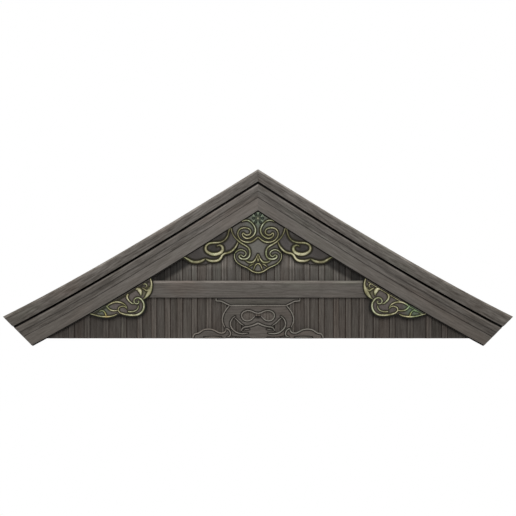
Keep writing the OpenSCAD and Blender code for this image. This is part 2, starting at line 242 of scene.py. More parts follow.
# %% World
SKY, GROUND = 0.62, 0.33
world = bpy.data.worlds.new("hazy_day")
world.use_nodes = True
bpy.context.scene.world = world
sky = world.node_tree
sky.nodes.clear()
up = add(sky, "SeparateXYZ", {0: add(sky, "TexCoord").outputs["Generated"]}).outputs[2]
lit = add(sky, "Background", {1: fade(sky, up, -0.6, 0.8, GROUND, SKY)})
seen = add(sky, "Background", {1: 1.0})
for made in (lit, seen):
    made.inputs[0].default_value = (1, 1, 1, 1)
chosen = add(sky, "MixShader", {0: add(sky, "LightPath").outputs["Is Camera Ray"],
                                1: lit.outputs[0], 2: seen.outputs[0]})
sky.links.new(chosen.outputs[0], add(sky, "OutputWorld").inputs[0])
print("light from above", SKY, "and from below", GROUND)

# %% [markdown]
# ## The roof edge as a formula
# The roof edge falls from its peak in a slightly hollow curve. Grain, dirt and shade follow that
# curve, so the same formula is needed twice: in Python, to place pieces, and in nodes, to colour
# them. Both give the drop, which is the plumb distance below the roof edge.

# %% The roof edge
half_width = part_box("verge_board_right")[1].x
peak = cad_high.z
FALL, SAG, VERGE_HEIGHT, FLARE = 1.560, 0.110, 0.128, 0.028
under_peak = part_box("gable_pendant")[1].z
UNDER_DROP = peak - under_peak
beam_low, beam_high = (corner.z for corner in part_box("tie_beam"))


def roof_height(x, drop):
    """Height of the line that runs the given drop below the roof edge."""
    u = abs(x) / half_width
    flare = FLARE * u * min(1, drop / VERGE_HEIGHT)
    return peak - drop - flare - FALL * u - SAG * (u - u ** 3)


def drop_nodes(tree, out, height):
    """The drop of a shaded point, from its distance out from the middle and its height."""
    u = maths(tree, "DIVIDE", out, half_width)
    curve = maths(tree, "MULTIPLY", SAG, maths(tree, "SUBTRACT", u, maths(tree, "POWER", u, 3.0)))
    edge = maths(tree, "SUBTRACT", peak, maths(tree, "MULTIPLY_ADD", u, FALL, curve))
    below = maths(tree, "SUBTRACT", edge, height)
    on_verge = maths(tree, "DIVIDE", below, maths(tree, "MULTIPLY_ADD", u, FLARE / VERGE_HEIGHT, 1.0))
    lower = maths(tree, "SUBTRACT", below, maths(tree, "MULTIPLY", u, FLARE))
    return maths(tree, "MAXIMUM", on_verge, lower)


print("the bargeboards' lower edge runs", round(UNDER_DROP, 3), "m below the roof edge")

# %% [markdown]
# ## Where a point lies in its timber
# Grain runs along a board, whichever way the board points. So the coordinates are first put in
# the order along, across and through the grain. Object coordinates are used because every piece
# stands at the origin: they are the real place on the gable. Each board also shifts them by a
# number of its own, or the same streaks would run on from one board into the next.

# %% Where a point lies
RAKE_LENGTH = 1.17
SHIFT_ALONG, SHIFT_ACROSS = 9.7, 3.1


def wood_place(tree, run):
    """Coordinates of a shaded point, and the same ordered along, across and through the grain."""
    x, y, z = add(tree, "SeparateXYZ", {0: add(tree, "TexCoord").outputs["Object"]}).outputs
    out = maths(tree, "ABSOLUTE", x)
    drop = drop_nodes(tree, out, z)
    sides = add(tree, "SeparateXYZ", {0: add(tree, "UVMap", uv_map="sides").outputs[0]}).outputs
    at = {"x": x, "y": y, "z": z, "out": out, "drop": drop, "left": sides[0], "right": sides[1]}
    along, across = {"plumb": (z, x), "level": (x, z),
                     "raking": (maths(tree, "MULTIPLY", out, RAKE_LENGTH), drop)}[run]
    own = add(tree, "Attribute", attribute_name="own_number").outputs["Fac"]
    at["own"] = own
    at["place"] = add(tree, "CombineXYZ", {
        0: maths(tree, "MULTIPLY_ADD", own, SHIFT_ALONG, along),
        1: maths(tree, "MULTIPLY_ADD", own, SHIFT_ACROSS, across), 2: y}).outputs[0]
    return at


print("a board's own streaks are shifted by up to", SHIFT_ALONG, "m along the grain")

# %% [markdown]
# ## Weathered wood
# The timber is old, bare and silvery: grey-brown, streaked along the grain and stained in patches,
# with painted shade in its narrow corners; some pieces also get painted highlights on their corners.
# One recipe serves every timber. It needs only which way the grain runs, a range of greys, and a few
# marks of its own for each kind of piece. The streaks are noise stretched a hundredfold along the
# grain, in three sizes from broad to fine. An Ambient Occlusion node finds the narrow corners, where
# the painted shade goes.

# %% Weathered wood
BROWNER, GREENER = (1.05, 0.97, 0.93, 1), (0.95, 1.0, 0.95, 1)
RINGS = 26.0
SHADE_REACH = 0.03


def weathered_wood(name, run, greys, marks=None, streak=1.0, ring=0.1, tone=0.07, painted_shade=0.5,
                   fleck=3.2):
    """A wood material. Greys are its dark, middle and light colours; marks adds its own stains and
    painted light and shade. Streak, ring, tone and painted_shade are the strengths of its streaks, its
    growth rings, the difference from board to board and the painted shade in corners. Fleck is how
    often a streak ends and the next begins in a metre."""
    material = bpy.data.materials.new(name)
    material.use_nodes = True
    tree = material.node_tree
    shader = tree.nodes["Principled BSDF"]
    at = wood_place(tree, run)
    place = at["place"]
    broad = cloud(tree, place, (1.3, 18, 18), 2, 0.5)
    band = cloud(tree, place, (fleck, 62, 62), 3, 0.65, 5.2)
    fibre = cloud(tree, place, (14, 260, 260), 3, 0.6, 2.9)
    value = maths(tree, "MULTIPLY", broad, 0.4 * streak)
    value = maths(tree, "MULTIPLY_ADD", band, 1.2 * streak, value)
    value = maths(tree, "MULTIPLY_ADD", fibre, 0.5, value)
    value = maths(tree, "SUBTRACT", value, 0.8 * streak - 0.25)
    colour = ramp(tree, value, ((0.25, greys[0]), (0.5, greys[1]), (0.78, greys[2])))
    # growth rings: thin dark lines along the contours of a slow noise
    slow = cloud(tree, place, (0.55, 6, 6), 1.5, 0.4, 7.7)
    lines = maths(tree, "PINGPONG", maths(tree, "MULTIPLY", slow, RINGS), 1.0)
    colour = scaled(tree, colour, fade(tree, lines, 0.0, 0.35, 1.0 - ring, 1.0))
    # stains: patches that are browner, and patches that are greener
    stain = cloud(tree, place, (1.1, 3.0, 3.0), 3, 0.5, 1.3)
    colour = mix(tree, fade(tree, stain, 0.52, 0.68, 0.0, 0.7), colour,
                 mix(tree, 1.0, colour, BROWNER, "MULTIPLY"))
    colour = mix(tree, fade(tree, stain, 0.46, 0.32, 0.0, 0.8), colour,
                 mix(tree, 1.0, colour, GREENER, "MULTIPLY"))
    colour = scaled(tree, colour, maths(tree, "MULTIPLY_ADD", at["own"], tone, 1.0))
    if marks:
        colour = marks(tree, colour, at)
    # painted shade: the Ambient Occlusion node darkens narrow corners
    open_sky = add(tree, "AmbientOcclusion", {"Distance": SHADE_REACH}, samples=6).outputs["AO"]
    colour = scaled(tree, colour, fade(tree, open_sky, 0.25, 0.95, 1.0 - painted_shade, 1.0))
    feed(tree, shader.inputs["Base Color"], colour)
    feed(tree, shader.inputs["Roughness"], fade(tree, band, 0.3, 0.7, 0.92, 0.72))
    shader.inputs["Specular IOR Level"].default_value = 0.25
    relief = maths(tree, "MULTIPLY_ADD", fibre, 0.6, band)
    bump = add(tree, "Bump", {"Strength": 0.5, "Distance": 0.0015, "Height": relief})
    feed(tree, shader.inputs["Normal"], bump.outputs[0])
    return material


# the painted shade darkens corners narrower than this reach
print("dirt gathers in corners narrower than", round(1000 * SHADE_REACH), "mm")

# %% [markdown]
# ## Timbers with worn corners
# The frame's solids have knife-sharp corners, which no old timber has. Each one is copied, its
# loose triangles are joined into whole faces, and every sharp edge gets a small bevel. The
# bevel needs whole faces: on loose triangles it would also cut the lines inside a flat side.

# %% Worn corners
SAME_PLACE = 1e-5
FLAT = math.radians(0.04)


def whole_faces(node):
    """A copy of a CAD node with its triangles joined into whole faces."""
    shape = bmesh.new()
    shape.from_mesh(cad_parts[node].data)
    bmesh.ops.remove_doubles(shape, verts=shape.verts, dist=SAME_PLACE)
    bmesh.ops.dissolve_limit(shape, angle_limit=FLAT, verts=shape.verts, edges=shape.edges)
    return shape


def wear_edges(shape, size, least=25.0):
    """Bevels every edge sharper than the given angle."""
    sharp = [e for e in shape.edges
             if len(e.link_faces) == 2 and e.calc_face_angle(0) > math.radians(least)]
    bmesh.ops.bevel(shape, geom=sharp, offset=size, offset_type="OFFSET", affect="EDGES",
                    segments=2, profile=0.5, material=-1, clamp_overlap=True)


trial = whole_faces("tie_beam")
flat_faces = len(trial.faces)
wear_edges(trial, 0.004)
print("the tie beam has", flat_faces, "flat faces, and", len(trial.faces), "with worn corners")
trial.free()

# %% [markdown]
# ## From a shape to a piece
# A bmesh is only a shape. To count as part of the gable it becomes an object that rides on the gable's
# one body, takes its finish and hides the solid that it replaces. Neighbouring boards differ a little
# in their grey, so each face also carries a number that belongs to its board, drawn from the board's
# name: it is the same at every run.

# %% From a shape to a piece


def own_number(name):
    """A number from -1 to 1 that is always the same for the same name."""
    return random.Random(name).uniform(-1, 1)


def finished(shape, name, material, nodes=()):
    """Turns a bmesh into a piece that rides on the gable and stands for its CAD nodes."""
    number = shape.faces.layers.float.get("own_number") or shape.faces.layers.float.new("own_number")
    for face in shape.faces:
        face[number] = face[number] or own_number(name)
    mesh = bpy.data.meshes.new(name)
    shape.to_mesh(mesh)
    shape.free()
    mesh.materials.append(material)
    piece = bpy.data.objects.new(name, mesh)
    bpy.context.scene.collection.objects.link(piece)
    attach(piece, "root")
    if nodes:
        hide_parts(*nodes)
    return piece


def timber(node, name, material, worn=0.003):
    """A plain timber: its solid with worn corners, in its own finish."""
    shape = whole_faces(node)
    wear_edges(shape, worn)
    return finished(shape, name, material, [node])


print("the first wall board's own number is", round(own_number("wall_board_left_1_wood"), 3))

# %% [markdown]
# ## Verge boards
# The verge board is the moulded edge under the tiles. Its top edge is a narrow fillet that
# stands back and catches the sky, so it is paler than the face below it. Both are one solid in
# one finish: the material knows the drop of every point, so it can paint the fillet by itself.

# %% Verge boards
ROOF_GREYS = (srgb(72, 67, 62), srgb(98, 93, 88), srgb(122, 117, 112))
# near black, for painted shade and painted shadow lines
SHADE_BLACK = srgb(20, 16, 12)
TIP_TINT = (0.74, 0.73, 0.71, 1)


def browner_outwards(tree, colour, at):
    """The timbers are a little darker and browner towards the tips, where the rain runs off."""
    tint = mix(tree, 1.0, colour, TIP_TINT, "MULTIPLY")
    return mix(tree, fade(tree, at["out"], 0.3, 2.4), colour, tint)


def verge_marks(tree, colour, at):
    """Painted light: the pale fillet, the shaded hollow under it and a black shadow along the lower
    edge.
    """
    # painted highlight on the fillet, painted shade in the hollow, and a painted black shadow along
    # the lower edge
    colour = scaled(tree, colour, fade(tree, at["drop"], 0.034, 0.012, 1.0, 2.0))
    colour = scaled(tree, colour, fade(tree, at["drop"], 0.070, 0.095, 1.0, 0.87))
    colour = mix(tree, fade(tree, at["drop"], 0.1265, 0.131), colour, SHADE_BLACK)
    return browner_outwards(tree, colour, at)


verge_wood = weathered_wood("verge_wood", "raking", ROOF_GREYS, verge_marks, streak=1.0,
                            ring=0.15, fleck=6.5)
for side in ("left", "right"):
    board = timber(f"verge_board_{side}", f"verge_{side}", verge_wood)
    print(board.name, len(board.data.polygons), "faces")

# %% [markdown]
# ## Bargeboards
# Under the verge comes the bargeboard, with a deep rebate above its face, a drip below it and two fine
# grooves like an eyebrow between. All of them get painted black shade, by depth: the further a front
# surface lies behind the board's face, the blacker it is. A texture could draw the lines too, but then
# they would drift away from the grooves of the solid.

# %% Bargeboards
DRIP_HEIGHT = 0.014


def facing_front(tree):
    """1 on what faces forward and 0 on the sides and the back."""
    normal = add(tree, "SeparateXYZ", {0: add(tree, "TexCoord").outputs["Normal"]}).outputs
    return fade(tree, normal[1], -0.3, -0.8)


def deep_shade(tree, at, front, depth):
    """How black the painted shade makes a point: 1 on what lies deeper than a front plane."""
    deep = fade(tree, maths(tree, "ADD", at["y"], -front), 0.002, depth)
    return maths(tree, "MULTIPLY", deep, facing_front(tree))


def barge_marks(tree, colour, at):
    """Painted light and shade from the rebate down to the drip, and painted black shade in the
    grooves.
    """
    drop = at["drop"]
    edge = UNDER_DROP - DRIP_HEIGHT
    # painted shade towards the drip, and a painted highlight at the top of the face under the rebate
    light = fade(tree, drop, edge - 0.05, edge - 0.01, 1.0, 0.93)
    light = maths(tree, "MULTIPLY", light, fade(tree, drop, 0.178, 0.166, 1.0, 1.55))
    # the band between the grooves gets painted half shade, but for its lower corner
    band = maths(tree, "MULTIPLY", fade(tree, drop, 0.205, 0.232), fade(tree, drop, 0.272, 0.262))
    light = maths(tree, "MULTIPLY", light, maths(tree, "MULTIPLY_ADD", band, -0.14, 1.0))
    # the broad lower face stands forward and is painted a little lighter, as painted light
    face = fade(tree, drop, 0.300, 0.308, 0.98, 1.07)
    # the broad lower face is planed smoother, with fainter streaks
    colour = mix(tree, fade(tree, drop, 0.300, 0.308, 0.0, 0.45), colour, ROOF_GREYS[1])
    colour = browner_outwards(tree, scaled(tree, colour, maths(tree, "MULTIPLY", light, face)), at)
    # a painted black shadow in the rebate under the verge
    colour = mix(tree, fade(tree, drop, 0.158, 0.1535), colour, SHADE_BLACK)
    # painted black shade by depth in the rebates, the drip and the grooves, fainter in the upper
    # eyebrow groove
    faint = maths(tree, "MAXIMUM", fade(tree, drop, 0.21, 0.20), fade(tree, drop, 0.25, 0.26))
    share = maths(tree, "MULTIPLY_ADD", faint, 0.75, 0.2)
    return mix(tree, maths(tree, "MULTIPLY", deep_shade(tree, at, face_y, 0.008), share), colour, SHADE_BLACK)


barge_wood = weathered_wood("bargeboard_wood", "raking", ROOF_GREYS, barge_marks, streak=0.8,
                            ring=0.08, fleck=5.5)
for side in ("left", "right"):
    board = timber(f"bargeboard_{side}", f"bargeboard_{side}_wood", barge_wood)
    print(board.name, len(board.data.polygons), "faces")

# %% [markdown]
# ## Marks on the wall
# The wall is made of upright boards with a batten nailed over each joint. Beside a batten runs a dark
# seam, partly the joint and partly painted shade, and its two corners get a painted highlight. The
# wall also gets painted shade where it lies deep under the bargeboards, painted light under the fins
# and behind the strut's openings, and it is browner low down. The marks are kept in one function
# because they lie over each other in a fixed order: first the seams, then the shade, and the black
# painted shadow under the bargeboards last.

# %% Marks on the wall
BATTEN_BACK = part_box("middle_batten")[1].y
HALF_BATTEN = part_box("middle_batten")[1].x
WALL_GREYS = (srgb(62, 57, 52), srgb(86, 82, 77), srgb(108, 104, 99))
SEAM_AND_SHADE = srgb(52, 44, 37)
LOW_TINT = (0.84, 0.80, 0.78, 1)


def wall_marks(tree, colour, at):
    """Seams, batten corners with painted highlights, and painted shade and light of the wall."""
    nearest = maths(tree, "MINIMUM", at["left"], at["right"])
    on_batten = fade(tree, at["y"], BATTEN_BACK - 0.002, BATTEN_BACK - 0.004)
    # behind the strut's upper openings the boards are painted paler, as painted light that lifts the
    # strut's shadow, with no dark seam
    seen = maths(tree, "MULTIPLY", fade(tree, at["out"], 0.22, 0.18), fade(tree, at["z"], 0.16, 0.2))
    seen = maths(tree, "MULTIPLY", seen, fade(tree, at["z"], beam_low, beam_low - 0.05))
    beside = maths(tree, "MINIMUM", nearest, at["out"])
    # a dark seam beside each batten and at the bare joints: the joint itself, with painted shade of
    # the batten's edge
    seam_and_shade = fade(tree, beside, HALF_BATTEN + 0.010, HALF_BATTEN + 0.004)
    seam_and_shade = maths(tree, "MULTIPLY", seam_and_shade, maths(tree, "SUBTRACT", 1.0, seen))
    back = mix(tree, fade(tree, nearest, 0.007, 0.003), colour, SEAM_AND_SHADE)
    board = mix(tree, seam_and_shade, scaled(tree, colour, 0.97), SEAM_AND_SHADE)
    # the batten's two corners are painted lighter, as a painted highlight
    batten = scaled(tree, colour, fade(tree, nearest, 0.020, 0.012, 1.0, 1.3))
    plain = mix(tree, on_batten, board, batten)
    # the upper part gets painted shade under the bargeboards, and painted light under the fins
    shade = fade(tree, at["drop"], UNDER_DROP + 0.085, UNDER_DROP + 0.14, 0.24, 1.0)
    lit_under_fins = maths(tree, "MULTIPLY", fade(tree, at["out"], 0.22, 0.34),
                   fade(tree, at["out"], 0.80, 0.72))
    lit_under_fins = maths(tree, "MULTIPLY", lit_under_fins, fade(tree, at["z"], 0.72, 0.785))
    upper = scaled(tree, scaled(tree, plain, shade), maths(tree, "MULTIPLY_ADD", lit_under_fins, 0.6, 1.0))
    # the lower part is browner, and darker towards the tips
    lower = mix(tree, 1.0, plain, LOW_TINT, "MULTIPLY")
    lower = scaled(tree, lower, fade(tree, at["out"], 0.5, 2.0, 0.95, 0.62))
    lower = scaled(tree, lower, maths(tree, "MULTIPLY_ADD", seen, 0.8, 1.0))
    front = mix(tree, fade(tree, at["z"], beam_low, beam_high), lower, upper)
    # a painted black shadow line right under the bargeboards
    front = mix(tree, fade(tree, at["drop"], UNDER_DROP + 0.010, UNDER_DROP + 0.002), front, SHADE_BLACK)
    return mix(tree, facing_front(tree), back, front)


wall_wood = weathered_wood("wall_wood", "plumb", WALL_GREYS, wall_marks, streak=0.5, ring=0.12,
                           tone=0.06, painted_shade=0.25)
print("a batten is", round(2000 * HALF_BATTEN), "mm wide")

# %% [markdown]
# ## Wall boards and battens
# A seam follows the sides of its own board, and the shader can't see where those are. So each
# face stores its distance to them as a UV map: one number to the left side, one to the right.
# Some solids hold a board and a batten in one, so each face first says which of the two it is.
# The joints next to the middle have no batten over them. Their distance starts at half a
# batten's width, so that the same seam comes out right at the joint.

# %% Wall boards and battens
BATTEN_WEAR, BOARD_WEAR = 0.004, 0.002


def wall_piece(node, name, bare=(False, False)):
    """A board or a batten with its own numbers. Bare says which sides have no batten over them."""
    shape = whole_faces(node)
    wear_edges(shape, BATTEN_WEAR if "batten" in node else BOARD_WEAR)
    sides = shape.loops.layers.uv.new("sides")
    number = shape.faces.layers.float.new("own_number")
    spans = {}
    for face in shape.faces:
        front = face.calc_center_median().y < BATTEN_BACK - 0.0005
        span = spans.setdefault(front, [1e9, -1e9])
        if face.normal.y < -0.9 if front else face.calc_center_median().y > -0.001:
            places = [vert.co.x for vert in face.verts]
            spans[front] = [min(span[0], *places), max(span[1], *places)]
    for face in shape.faces:
        front = face.calc_center_median().y < BATTEN_BACK - 0.0005
        face[number] = own_number(name + ("_batten" if front else ""))
        more = [HALF_BATTEN if side and not front else 0.0 for side in bare]
        for loop in face.loops:
            x = loop.vert.co.x
            loop[sides].uv = (x - spans[front][0] + more[0], spans[front][1] - x + more[1])
    return finished(shape, name, wall_wood, [node])


BARE_SIDES = {"middle_board": (True, True), "wall_board_left_1": (False, True),
              "wall_board_right_1": (True, False)}
wall_nodes = [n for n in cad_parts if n.startswith(("wall_board", "batten", "middle"))]
for node in sorted(wall_nodes):
    wall_piece(node, node + "_wood", BARE_SIDES.get(node, (False, False)))
print(len(wall_nodes), "wall pieces")

# %% [markdown]
# ## Tie beam
# The beam's grain runs level, in long waves. Its top edge is a fillet that stands back, with a painted
# highlight on it, and its foot gets a little painted shade. The solid has the fillet's step already,
# so the finish only has to change its grey at the same height.

# %% Tie beam
BEAM_GREYS = (srgb(70, 65, 60), srgb(90, 85, 80), srgb(110, 105, 100))


def beam_marks(tree, colour, at):
    """A painted highlight on the fillet along the top and painted shade along the foot."""
    # painted highlight on the top fillet, painted shade along the foot
    fillet = fade(tree, at["z"], beam_high - 0.030, beam_high - 0.020, 1.0, 2.1)
    foot = fade(tree, at["z"], beam_low + 0.010, beam_low + 0.002, 1.0, 0.7)
    return scaled(tree, scaled(tree, colour, fillet), foot)


beam_wood = weathered_wood("beam_wood", "level", BEAM_GREYS, beam_marks, streak=0.45, ring=0.2)
beam = timber("tie_beam", "tie_beam_wood", beam_wood, 0.004)
print(beam.name, len(beam.data.polygons), "faces")

# %% [markdown]
# ## Cutting a field from a carved solid
# The strut and the pendants are boards with a relief on their front. In the frame's solids that
# relief is only blocked out, so it is made anew and the board behind it is kept. A plane cuts
# the relief off, the cut is pulled up to the board's face, and triangles fill it. Cutting keeps
# the true outline and the openings, which a new drawing of the board would only come near to.

# %% Cutting a field from a carved solid
STRUT_RELIEF = 0.006
CUT_BEHIND = 0.0005
FINE = 1e-6


def everything(shape):
    """All points, edges and faces, as the cutting operators take them."""
    return shape.verts[:] + shape.edges[:] + shape.faces[:]


def cut_field(node, front):
    """A copy of a carved solid without what stands in front of the given plane."""
    shape = whole_faces(node)
    bmesh.ops.bisect_plane(shape, geom=everything(shape), dist=FINE, clear_outer=True,
                           plane_co=(0, front + CUT_BEHIND, 0), plane_no=(0, -1, 0))
    rim = [e for e in shape.edges if e.is_boundary]
    for vert in {v for e in rim for v in e.verts}:
        vert.co.y = front
    bmesh.ops.triangle_fill(shape, use_beauty=True, use_dissolve=False, edges=rim,
                            normal=(0, -1, 0))
    bmesh.ops.dissolve_limit(shape, angle_limit=math.radians(0.5), verts=shape.verts,
                             edges=shape.edges)
    return shape


trial = cut_field("frog_leg_strut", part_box("frog_leg_strut")[0].y + STRUT_RELIEF)
print("the strut's field has", len(trial.faces), "faces")
trial.free()

# %% [markdown]
# ## A carver's bead
# The raised lines of the strut and the scrolls of the pendants swell and die away. A curve does
# the same when it is swept with a round section, because each of its points has a radius of its
# own. The tube is then pressed towards the board, so that a thick line stands hardly higher than
# a thin one, and its back is cut off inside the wood and closed.

# %% A carver's bead
BURIED = 0.0055
FULLNESS = 1.35


def bead(points, origin, mirrored, front, height, wider=1.0):
    """A rounded ridge through points of [x, z, width] in millimetres, lying on a front plane."""
    curve = bpy.data.curves.new("bead", "CURVE")
    curve.dimensions = "3D"
    curve.bevel_depth = 0.001
    curve.bevel_resolution = 3
    curve.resolution_u = 5
    curve.use_fill_caps = True
    line = curve.splines.new("BEZIER")
    line.radius_interpolation = "CARDINAL"
    line.bezier_points.add(len(points) - 1)
    for knot, (x, z, width) in zip(line.bezier_points, points):
        across = origin[0] + x / 1000
        knot.co = (-across if mirrored else across, 0, origin[1] + z / 1000)
        knot.radius = wider * width / 2
        knot.handle_left_type = knot.handle_right_type = "AUTO"
    holder = bpy.data.objects.new("bead", curve)
    bpy.context.scene.collection.objects.link(holder)
    graph = bpy.context.evaluated_depsgraph_get()
    shape = bmesh.new()
    shape.from_mesh(bpy.data.meshes.new_from_object(holder.evaluated_get(graph)))
    bpy.data.objects.remove(holder)
    for vert in shape.verts:
        vert.co.y = front - height * math.tanh(-FULLNESS * vert.co.y / height)
    bmesh.ops.bisect_plane(shape, geom=everything(shape), dist=FINE, clear_outer=True,
                           plane_co=(0, front + BURIED, 0), plane_no=(0, 1, 0))
    bmesh.ops.holes_fill(shape, edges=[e for e in shape.edges if e.is_boundary], sides=0)
    bmesh.ops.recalc_face_normals(shape, faces=shape.faces)
    if min(shape.verts, key=lambda v: v.co.y).normal.y > 0:
        bmesh.ops.reverse_faces(shape, faces=shape.faces)
    for face in shape.faces:
        face.smooth = abs(face.normal.y) < 0.999 or face.normal.y < 0
    return shape


trial = bead([[0, 0, 10], [100, 0, 20]], (0, 0), False, 0.0, STRUT_RELIEF)
print("a trial bead stands", round(-1000 * min(v.co.y for v in trial.verts), 2), "mm high")
trial.free()

# %% [markdown]
# ## The beads of one carving
# All the beads of a carving are one piece in one finish. Most carvings have two equal halves, so a
# line is drawn once and made again with its sideways places negated. Crests are bright and flanks
# dull, partly as rubbed gilding and partly as painted highlight and painted shade; the mesh keeps at
# each point how squarely it faces the front, as a number called crest, and the finish reads it as a
# scale from flank to crest.

# %% The beads of one carving


def beads(lines, origin, front, height, name, material, mirrored=(False,), wider=1.0):
    """All the ridges of one carving as one piece. Each point keeps how squarely it faces front."""
    whole = bpy.data.meshes.new(name)
    shape = bmesh.new()
    for flip in mirrored:
        for points in lines:
            ridge = bead(points, origin, flip, front, height, wider)
            ridge.to_mesh(whole)
            ridge.free()
            shape.from_mesh(whole)
    crest = shape.verts.layers.float.new("crest")
    shape.normal_update()
    for vert in shape.verts:
        vert[crest] = max(0.0, -vert.normal.y)
    bpy.data.meshes.remove(whole)
    return finished(shape, name, material)


plain = {o.name for o in bpy.data.objects if o.type == "MESH"} - set(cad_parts) - {floor.name}
print("plain pieces before the carvings:", len(plain))

# %% [markdown]
# ## Squares on the front and sloping sides
# A flat face can't be pressed in at one place, because it has no points inside. Planes a few
# millimetres apart cut it into squares, which leaves its outline as it was. A carver also cuts the
# sides at a slope, so the board is a little wider further back. Seen from the front those sides are a
# thin dark line round the board; they are modelled, and the ground's finish also paints them near
# black as painted shade.

# %% Squares on the front and sloping sides
PITCH = 0.008


def front_squares(shape, front):
    """Cuts the front of a field into squares."""
    for axis in (0, 2):
        ends = [v.co[axis] for v in shape.verts]
        place = min(ends) + PITCH
        while place < max(ends):
            faces = [f for f in shape.faces if f.normal.y < -0.999]
            corners = {v for f in faces for v in f.verts}
            edges = {e for f in faces for e in f.edges}
            across = [0, 0, 0]
            across[axis] = 1
            at = [0, front, 0]
            at[axis] = place
            bmesh.ops.bisect_plane(shape, geom=faces + list(edges) + list(corners), dist=FINE,
                                   plane_co=at, plane_no=across)
            place += PITCH


def slope_sides(shape, front, out, begins=0.006):
    """Moves the sides outwards behind the front, as a sloping cut leaves them."""
    bmesh.ops.bisect_plane(shape, geom=everything(shape), dist=FINE,
                           plane_co=(0, front + begins, 0), plane_no=(0, 1, 0))
    shape.normal_update()
    moves = []
    for vert in shape.verts:
        sides = [f.normal for f in vert.link_faces if abs(f.normal.y) < 0.2]
        if vert.co.y > front + begins - SAME_PLACE and sides:
            way = sum(sides, Vector())
            moves.append((vert, Vector((way.x, 0, way.z)).normalized() * out))
    for vert, move in moves:
        vert.co += move


print("the fronts are cut into squares of", round(1000 * PITCH), "mm")

# %% [markdown]
# ## Pressing the ground in
# A carver sinks the ground most where it meets a scroll, so that the scroll seems to stand higher. A
# search tree of the scrolls' faces finds how far each corner of the squares lies from the nearest
# scroll. Close to one the corner is pressed in, and it keeps how much as a number called hollow, for
# the painted shade there. Corners off the front keep a 2, for the painted shade on the sides.

# %% Pressing the ground in
SUNK = 0.004
CLOSE = 0.004


def sink_ground(shape, front, scrolls, reach, depth=SUNK):
    """Presses the ground in beside the scrolls and keeps how much, from 0 to 1. A side keeps 2."""
    tree = BVHTree.FromPolygons([v.co for v in scrolls.data.vertices],
                                [p.vertices for p in scrolls.data.polygons])
    hollow = shape.verts.layers.float.new("hollow")
    for vert in shape.verts:
        if abs(vert.co.y - front) > 1e-4:
            vert[hollow] = 2.0
            continue
        found = tree.find_nearest(vert.co)[0]
        away = math.hypot(found.x - vert.co.x, found.z - vert.co.z)
        share = min(1.0, max(0.0, (reach - away) / (reach - CLOSE)))
        share = share * share * (3 - 2 * share)
        vert[hollow] = share
        if all(f.normal.y < -0.999 for f in vert.link_faces):
            vert.co.y = front + depth * share


print("beside a scroll the ground goes in by up to", round(1000 * SUNK), "mm")

# %% [markdown]
# ## Woods of the frog-leg strut
# The strut stands at the foot of the wall and carries the tie beam, with a plate between them.
# Its ground is dark with dirt, and its raised lines are rubbed pale. The one recipe for wood gives
# both, with two ranges of greys. The ground has marks of its own, all painted shade: the shadow right
# under the beam, the shade beside the lines, and a black spot at the knot where the two legs meet.

# %% Woods of the frog-leg strut
PLATE_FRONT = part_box("strut_plate")[0].y + STRUT_RELIEF
STRUT_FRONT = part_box("frog_leg_strut")[0].y + STRUT_RELIEF
STRUT_GREYS = (srgb(63, 58, 54), srgb(81, 76, 71), srgb(99, 94, 88))
LINE_GREYS = (srgb(99, 94, 87), srgb(119, 114, 107), srgb(139, 134, 127))
STRUT_HOLLOW = srgb(30, 26, 22)
KNOT_HEIGHT, KNOT_REACH = 0.245, 0.05


def strut_marks(tree, colour, at):
    """Painted shade: the shadow under the beam, a black spot at the knot and the shade beside the
    lines.
    """
    under_beam = fade(tree, at["z"], beam_low - 0.017, beam_low - 0.009, 1.0, 0.24)
    hollow = add(tree, "Attribute", attribute_name="hollow").outputs["Fac"]
    knot = near(tree, add(tree, "TexCoord").outputs["Object"], (0, STRUT_FRONT, KNOT_HEIGHT),
                KNOT_REACH)
    # a painted black spot at the knot, as painted shade where the legs meet
    colour = mix(tree, knot, scaled(tree, colour, under_beam), SHADE_BLACK)
    # painted shade beside the raised lines
    return mix(tree, fade(tree, hollow, 0.1, 0.8, 0.0, 0.95), colour, STRUT_HOLLOW)


strut_wood = weathered_wood("strut_wood", "level", STRUT_GREYS, strut_marks, streak=0.6, ring=0.1)
line_wood = weathered_wood("strut_line_wood", "level", LINE_GREYS, None, streak=0.5, ring=0.0)
print("the strut's ground stands", round(-1000 * STRUT_FRONT), "mm in front of the wall's back")

# %% [markdown]
# ## Frog-leg strut
# The strut is a pierced board with two legs like a sitting frog's. A raised line runs along its
# edge and round its openings, and swells where the carver turned the tool. Its points are given
# as [across, up, width] in millimetres, for the right half only; the left half mirrors it. The
# lines come first, because the ground is pressed in beside them.

